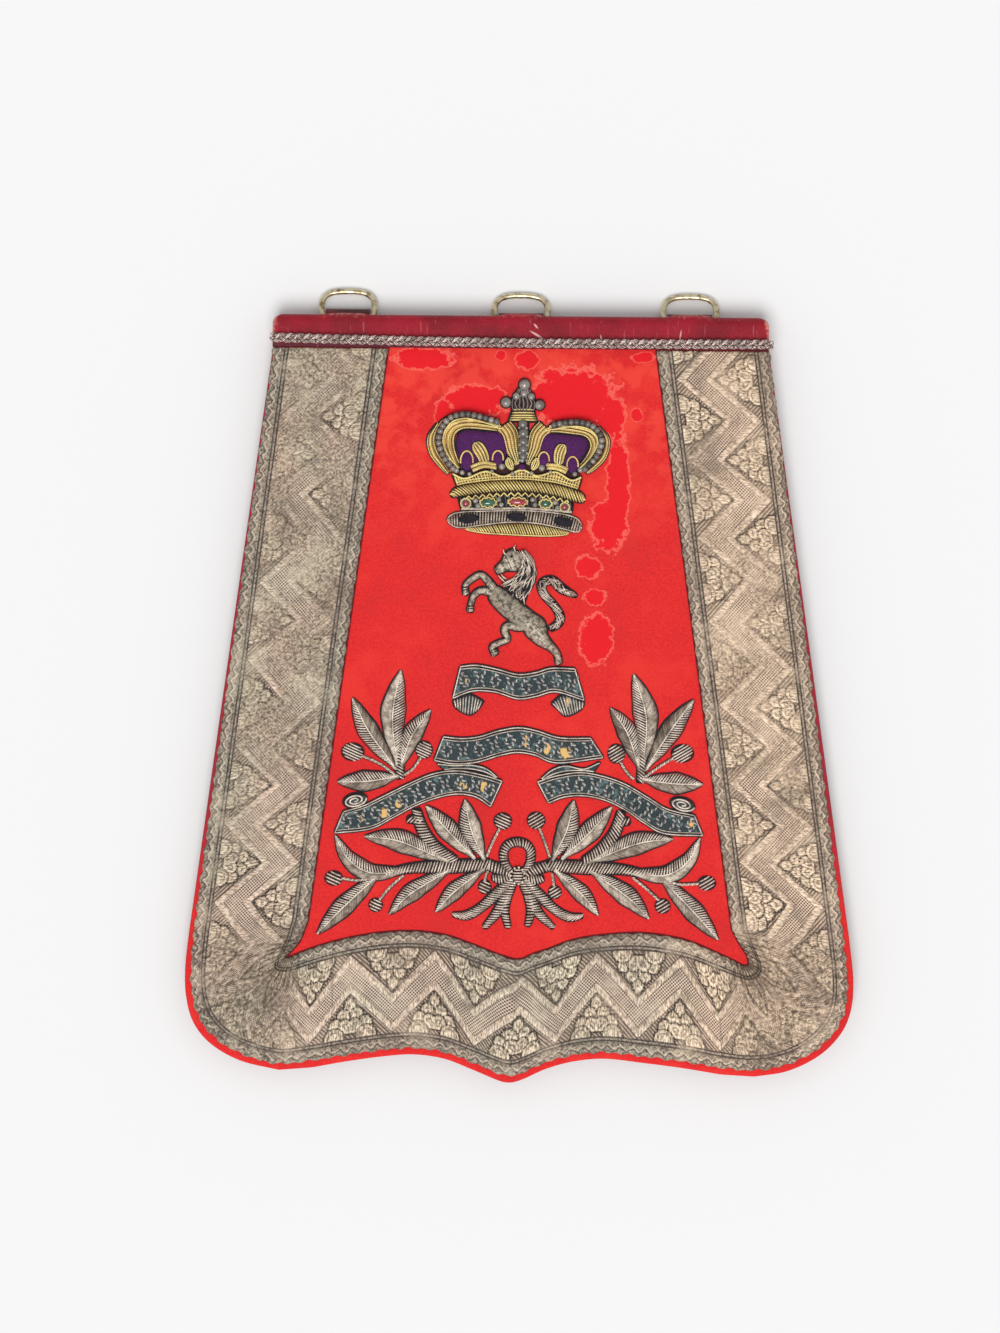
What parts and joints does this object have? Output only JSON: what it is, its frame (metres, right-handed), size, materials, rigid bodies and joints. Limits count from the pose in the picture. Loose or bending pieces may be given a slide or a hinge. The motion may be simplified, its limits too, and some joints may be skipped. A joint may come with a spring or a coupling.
{
  "type": "sabretache",
  "caption": "Flat hanging pouch with an embroidered cloth face, metal lace border, leather top band, slip pocket behind and three swinging D-rings.",
  "frame": {"origin": "on the resting face, under the middle of the bounding box", "axes": "+X to the right across the face, +Y from the bottom point towards the rings, +Z out of the embroidered face"},
  "size_m": [0.2976, 0.3538, 0.0198],
  "materials": {
    "scarlet_cloth": "napped wool, worn bare in patches",
    "silver_lace": "woven metal thread, tarnished",
    "crimson_leather": "grained goatskin, scuffed at the edges",
    "silver_wire": "coiled silver wire over padding, tarnished",
    "gold_wire": "coiled gilt wire over padding",
    "purple_velvet": "short pile velvet",
    "teal_silk": "silk edged with double silver cord",
    "nickel": "plated wire, warm and worn",
    "red_glass": "foiled red stone",
    "green_glass": "foiled green stone"
  },
  "bodies": {
    "pouch": {"back_pocket": "crimson_leather", "berry_1": "silver_wire", "berry_10": "silver_wire", "berry_11": "silver_wire", "berry_12": "silver_wire", "berry_2": "silver_wire", "berry_3": "silver_wire", "berry_4": "silver_wire", "berry_5": "silver_wire", "berry_6": "silver_wire", "berry_7": "silver_wire", "berry_8": "silver_wire", "berry_9": "silver_wire", "bow": "silver_wire", "cloth_face": "scarlet_cloth", "crown_arch_left": "gold_wire", "crown_arch_middle": "gold_wire", "crown_arch_right": "gold_wire", "crown_cap_left": "purple_velvet", "crown_cap_right": "purple_velvet", "crown_cross": "silver_wire", "crown_ermine": "silver_wire", "crown_foot": "gold_wire", "crown_jewel_band": "silver_wire", "crown_rim": "gold_wire", "crown_roll": "gold_wire", "horse_body": "silver_wire", "horse_head": "silver_wire", "horse_mane": "silver_wire", "horse_tail": "silver_wire", "jewel_green_left": "green_glass", "jewel_green_right": "green_glass", "jewel_red": "red_glass", "lace_border": "silver_lace", "laurel_lower_left": "silver_wire", "laurel_lower_right": "silver_wire", "laurel_upper_left": "silver_wire", "laurel_upper_right": "silver_wire", "leather_backing": "crimson_leather", "plaited_cord": "silver_wire", "scroll_left": "teal_silk", "scroll_left_curl": "teal_silk", "scroll_left_fold": "teal_silk", "scroll_middle": "teal_silk", "scroll_right": "teal_silk", "scroll_right_curl": "teal_silk", "scroll_right_fold": "teal_silk", "scroll_upper": "teal_silk", "scroll_upper_curl_left": "teal_silk", "scroll_upper_curl_right": "teal_silk", "strap_centre": "crimson_leather", "strap_left": "crimson_leather", "strap_right": "crimson_leather", "top_band": "crimson_leather"},
    "sling_ring_left": {"ring_left": "nickel"},
    "sling_ring_centre": {"ring_centre": "nickel"},
    "sling_ring_right": {"ring_right": "nickel"}
  },
  "joints": [
    {"name": "ring_left_swing", "type": "hinge", "parent": "pouch", "child": "sling_ring_left", "pos_m": [-0.07905, 0.1647, 0.0036], "axis": [1, 0, 0], "range_deg": [-60, 60]},
    {"name": "ring_centre_swing", "type": "hinge", "parent": "pouch", "child": "sling_ring_centre", "pos_m": [-0.00165, 0.1635, 0.0036], "axis": [1, 0, 0], "range_deg": [-60, 60]},
    {"name": "ring_right_swing", "type": "hinge", "parent": "pouch", "child": "sling_ring_right", "pos_m": [0.07385, 0.1635, 0.0036], "axis": [1, 0, 0], "range_deg": [-60, 60]}
  ]
}
